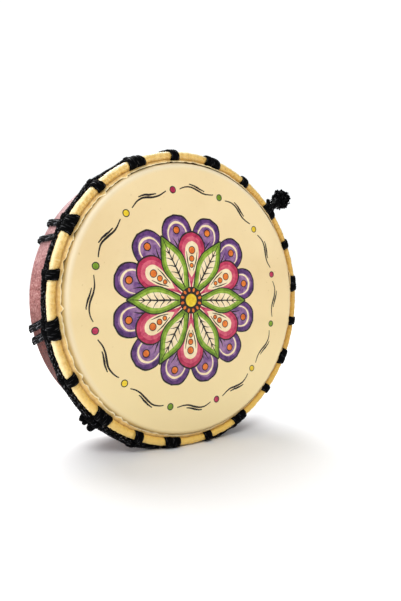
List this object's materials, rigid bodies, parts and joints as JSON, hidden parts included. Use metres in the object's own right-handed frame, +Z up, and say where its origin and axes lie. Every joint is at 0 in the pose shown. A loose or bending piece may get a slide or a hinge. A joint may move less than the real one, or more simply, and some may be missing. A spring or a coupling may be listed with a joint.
{
  "type": "shaman frame drum",
  "caption": "Round hand drum with a painted hide head, a cord-wrapped hide hoop, black lacing over a stained wooden shell and a corded grip ring at the open back.",
  "frame": {"origin": "centre of the box's underside, on the surface that the drum stands on", "axes": "+Z up, -Y the way the playing face looks along the drum's own axis, +X to the right as seen from the front"},
  "size_m": [0.2231, 0.0658, 0.2226],
  "materials": {
    "shell_wood": "satin reddish-brown stain over visible grain",
    "head_hide": "smooth cream hide with a painted flower",
    "hoop_hide": "semi-gloss golden hide with small creases",
    "black_cord": "matt braided cord"
  },
  "bodies": {
    "root": {"shell": "shell_wood", "drumhead": "head_hide", "hide_hoop": "hoop_hide", "cord_ring": "black_cord", "wrap_01": "black_cord", "wrap_02": "black_cord", "wrap_03": "black_cord", "wrap_04": "black_cord", "wrap_05": "black_cord", "wrap_06": "black_cord", "wrap_07": "black_cord", "wrap_08": "black_cord", "wrap_09": "black_cord", "wrap_10": "black_cord", "wrap_11": "black_cord", "wrap_12": "black_cord", "wrap_13": "black_cord", "wrap_14": "black_cord", "wrap_15": "black_cord", "wrap_16": "black_cord", "wrap_17": "black_cord", "wrap_18": "black_cord", "wrap_19": "black_cord", "wrap_20": "black_cord", "lacing_02a": "black_cord", "lacing_02b": "black_cord", "lacing_04a": "black_cord", "lacing_04b": "black_cord", "lacing_06a": "black_cord", "lacing_06b": "black_cord", "lacing_08a": "black_cord", "lacing_08b": "black_cord", "lacing_10a": "black_cord", "lacing_10b": "black_cord", "lacing_12a": "black_cord", "lacing_12b": "black_cord", "lacing_14a": "black_cord", "lacing_14b": "black_cord", "lacing_16a": "black_cord", "lacing_16b": "black_cord", "lacing_18a": "black_cord", "lacing_18b": "black_cord", "lacing_20a": "black_cord", "lacing_20b": "black_cord", "grip_ring": "black_cord", "cord_tuft": "black_cord", "ring_knot": "black_cord"}
  },
  "joints": []
}
